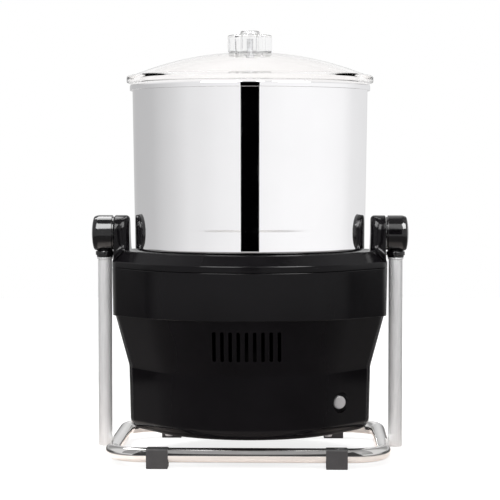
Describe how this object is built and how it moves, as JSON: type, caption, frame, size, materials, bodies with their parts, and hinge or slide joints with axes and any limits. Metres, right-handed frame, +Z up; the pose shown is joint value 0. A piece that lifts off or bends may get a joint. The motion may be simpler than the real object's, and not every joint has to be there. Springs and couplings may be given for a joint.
{
  "type": "wet grinder",
  "caption": "Tilting table-top wet grinder: black moulded motor body hung on a bright tube stand, with a turning steel drum, granite rollers and a clear domed lid.",
  "frame": {"origin": "on the floor, in the middle under the drum", "axes": "+Z up, -Y towards the front with the push button, +X to the right seen from the front"},
  "size_m": [0.3206, 0.2546, 0.4269],
  "materials": {
    "mirror_steel": "polished stainless steel",
    "chrome_tube": "bright chromed tube",
    "satin_tube": "satin stainless tube",
    "satin_steel": "machined steel",
    "zinc_steel": "zinc-plated steel",
    "black_gloss": "gloss black moulding",
    "black_matte": "matt black moulding",
    "foot_rubber": "dark grey rubber",
    "belt_rubber": "black ribbed rubber",
    "clear_plastic": "clear moulded plastic",
    "button_grey": "grey moulding",
    "granite": "ground granite",
    "nylon": "natural nylon",
    "lamination": "varnished steel laminations",
    "cast_alloy": "cast alloy"
  },
  "bodies": {
    "stand": {"base_loop": "chrome_tube", "upright_left": "satin_tube", "upright_right": "satin_tube", "foot_front_left": "foot_rubber", "foot_front_right": "foot_rubber", "foot_rear_left": "foot_rubber", "foot_rear_right": "foot_rubber", "collar_left": "black_gloss", "collar_right": "black_gloss", "pivot_hub_left": "black_gloss", "pivot_hub_right": "black_gloss", "trunnion_pin_left": "satin_steel", "trunnion_pin_right": "satin_steel"},
    "tilting_body": {"main_housing": "black_gloss", "top_cover": "black_gloss", "bottom_cover": "black_matte", "pivot_bush_left": "nylon", "pivot_bush_right": "nylon", "chassis_plate": "zinc_steel", "centre_spindle": "satin_steel", "spindle_nut": "zinc_steel", "motor_stator": "lamination", "motor_upper_shield": "cast_alloy", "motor_lower_shield": "cast_alloy", "run_capacitor": "nylon", "switch_body": "black_matte", "cord_gland": "black_matte", "drive_belt": "belt_rubber", "bottom_screw_1": "zinc_steel", "bottom_screw_2": "zinc_steel", "bottom_screw_3": "zinc_steel", "bottom_screw_4": "zinc_steel", "chassis_screw_1": "zinc_steel", "chassis_screw_2": "zinc_steel", "chassis_screw_3": "zinc_steel", "chassis_screw_4": "zinc_steel"},
    "rotor": {"motor_rotor": "lamination", "motor_pulley": "cast_alloy", "cooling_fan": "nylon"},
    "drum_assembly": {"drum": "mirror_steel", "driven_pulley": "cast_alloy", "lower_bearing": "satin_steel", "upper_bearing": "satin_steel", "drive_flange": "cast_alloy", "bed_stone": "granite", "bed_clamp_ring": "nylon"},
    "stone_carrier": {"stone_holder": "black_matte", "scraper": "satin_steel", "lock_knob": "black_matte", "roller_axle_left": "satin_steel", "roller_axle_right": "satin_steel"},
    "left_roller": {"roller_stone_left": "granite", "roller_bush_left": "nylon"},
    "right_roller": {"roller_stone_right": "granite", "roller_bush_right": "nylon"},
    "lid": {"lid_shell": "clear_plastic", "lid_knob": "clear_plastic", "lid_screw": "satin_steel"},
    "button": {"power_button": "button_grey"}
  },
  "joints": [
    {"name": "tilt", "type": "hinge", "parent": "stand", "child": "tilting_body", "pos_m": [0, 0, 0.2229], "axis": [1, 0, 0], "range_deg": [0, 100]},
    {"name": "drum_spin", "type": "hinge", "parent": "tilting_body", "child": "drum_assembly", "pos_m": [0, 0, 0.189], "axis": [0, 0, 1], "continuous": true},
    {"name": "motor_spin", "type": "hinge", "parent": "tilting_body", "child": "rotor", "pos_m": [-0.08, 0, 0.171], "axis": [0, 0, 1], "continuous": true},
    {"name": "stone_carrier_lift", "type": "slide", "parent": "tilting_body", "child": "stone_carrier", "axis": [0, 0, 1], "range_m": [0, 0.045]},
    {"name": "left_roller_spin", "type": "hinge", "parent": "stone_carrier", "child": "left_roller", "pos_m": [-0.061, 0, 0.257], "axis": [1, 0, 0], "continuous": true},
    {"name": "right_roller_spin", "type": "hinge", "parent": "stone_carrier", "child": "right_roller", "pos_m": [0.061, 0, 0.257], "axis": [1, 0, 0], "continuous": true},
    {"name": "lid_lift", "type": "slide", "parent": "drum_assembly", "child": "lid", "axis": [0, 0, 1], "range_m": [0, 0.12]},
    {"name": "power_button_press", "type": "slide", "parent": "tilting_body", "child": "button", "axis": [-0.342, 0.9397, 0], "range_m": [0, 0.0025], "stiffness_N_per_m": 300}
  ],
  "couplings": [
    {"joint": "motor_spin", "follows": "drum_spin", "ratio": 7.4327},
    {"joint": "left_roller_spin", "follows": "drum_spin", "ratio": -2.2182},
    {"joint": "right_roller_spin", "follows": "drum_spin", "ratio": 2.2182}
  ]
}
